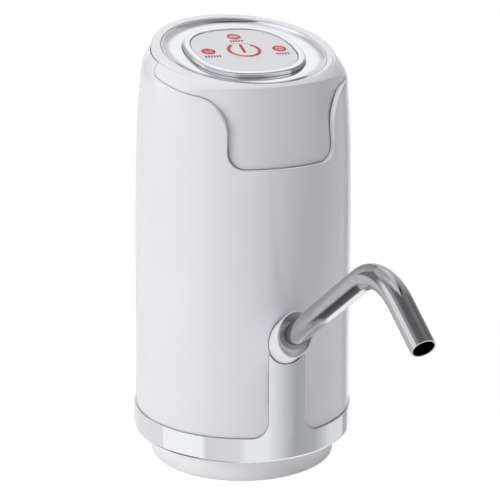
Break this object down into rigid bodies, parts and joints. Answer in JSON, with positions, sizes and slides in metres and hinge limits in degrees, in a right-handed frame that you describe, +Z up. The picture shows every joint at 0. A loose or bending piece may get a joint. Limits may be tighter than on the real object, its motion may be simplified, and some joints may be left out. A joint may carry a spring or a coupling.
{
  "type": "bottled water pump",
  "caption": "Rechargeable electric pump for a large water bottle: a white tapered body on a chrome foot ring, a slanted key panel on top and a bent steel spout in front.",
  "frame": {"origin": "middle of the collar's bottom rim, where the pump meets the bottle's shoulder", "axes": "+Z up along the body's axis, -Y to the front where the spout points, +X to the right seen from the front"},
  "size_m": [0.078, 0.1722, 0.1536],
  "materials": {
    "white_shell": "glossy white ABS",
    "white_collar": "white ABS, slightly less glossy",
    "chrome_trim": "plated, mirror bright",
    "grey_panel": "satin light grey",
    "red_key": "red print on a key top",
    "key_stem": "moulded black",
    "lamp_pipe": "translucent red",
    "steel_tube": "polished stainless steel",
    "grey_silicone": "soft grey silicone",
    "black_rubber": "black moulded rubber",
    "screw_steel": "zinc plated",
    "inner_plastic": "natural moulded plastic",
    "black_plastic": "black moulded plastic",
    "board_green": "green circuit board",
    "clear_hose": "milky silicone hose",
    "motor_steel": "drawn steel",
    "bush_bronze": "sintered bronze",
    "magnet": "grey-black ferrite",
    "cell_wrap": "blue shrink wrap",
    "terminal_brass": "bright"
  },
  "bodies": {
    "pump": {"outer_shell": "white_shell", "top_cap": "white_shell", "spout_socket": "white_shell", "neck_collar": "white_collar", "base_trim": "chrome_trim", "top_trim_ring": "chrome_trim", "panel_bezel": "chrome_trim", "key_panel": "grey_panel", "battery_lamp": "lamp_pipe", "lamp_led": "inner_plastic", "key_switches": "black_plastic", "control_board": "board_green", "board_screws": "screw_steel", "neck_grip": "grey_silicone", "intake_spigot": "inner_plastic", "spigot_gasket": "black_rubber", "spigot_nut": "inner_plastic", "base_screws": "screw_steel", "bracket_screws": "screw_steel", "pump_bracket": "inner_plastic", "socket_o_ring": "black_rubber", "pump_cover": "black_plastic", "pump_valve_plate": "black_plastic", "inlet_valves": "grey_silicone", "outlet_valve": "grey_silicone", "pump_diaphragm": "black_rubber", "swash_plate": "inner_plastic", "pump_body": "black_plastic", "pump_screws": "screw_steel", "motor_can": "motor_steel", "motor_screws": "screw_steel", "motor_bushes": "bush_bronze", "motor_magnets": "magnet", "motor_end_cap": "inner_plastic", "motor_brushes": "terminal_brass", "battery_cradle": "black_plastic", "battery_cell": "cell_wrap", "charge_board": "board_green", "charge_screws": "screw_steel", "usb_shell": "screw_steel", "usb_tongue": "black_plastic", "inlet_hose": "clear_hose", "outlet_hose": "clear_hose"},
    "seal_sleeve": {"spout_seal": "grey_silicone"},
    "spout": {"spout_tube": "steel_tube"},
    "power_button": {"power_key": "grey_panel", "power_plunger": "key_stem"},
    "volume_button": {"volume_key": "red_key", "volume_plunger": "key_stem"},
    "timer_button": {"timer_key": "red_key", "timer_plunger": "key_stem"},
    "rotor": {"motor_rotor": "motor_steel", "eccentric_hub": "inner_plastic"}
  },
  "joints": [
    {"name": "spout_pull", "type": "slide", "parent": "pump", "child": "seal_sleeve", "axis": [0, -0.8131, 0.5821], "range_m": [0, 0.026]},
    {"name": "spout_swivel", "type": "hinge", "parent": "seal_sleeve", "child": "spout", "pos_m": [0, -0.038, 0.05315], "axis": [0, -0.8131, 0.5821], "continuous": true},
    {"name": "power_key_press", "type": "slide", "parent": "pump", "child": "power_button", "axis": [0, 0.2164, -0.9763], "range_m": [0, 0.0004], "stiffness_N_per_m": 2500},
    {"name": "volume_key_press", "type": "slide", "parent": "pump", "child": "volume_button", "axis": [0, 0.2164, -0.9763], "range_m": [0, 0.0004], "stiffness_N_per_m": 2500},
    {"name": "timer_key_press", "type": "slide", "parent": "pump", "child": "timer_button", "axis": [0, 0.2164, -0.9763], "range_m": [0, 0.0004], "stiffness_N_per_m": 2500},
    {"name": "motor_spin", "type": "hinge", "parent": "pump", "child": "rotor", "pos_m": [-0.004, -0.00512, 0.08], "axis": [0, 0, 1], "continuous": true}
  ]
}
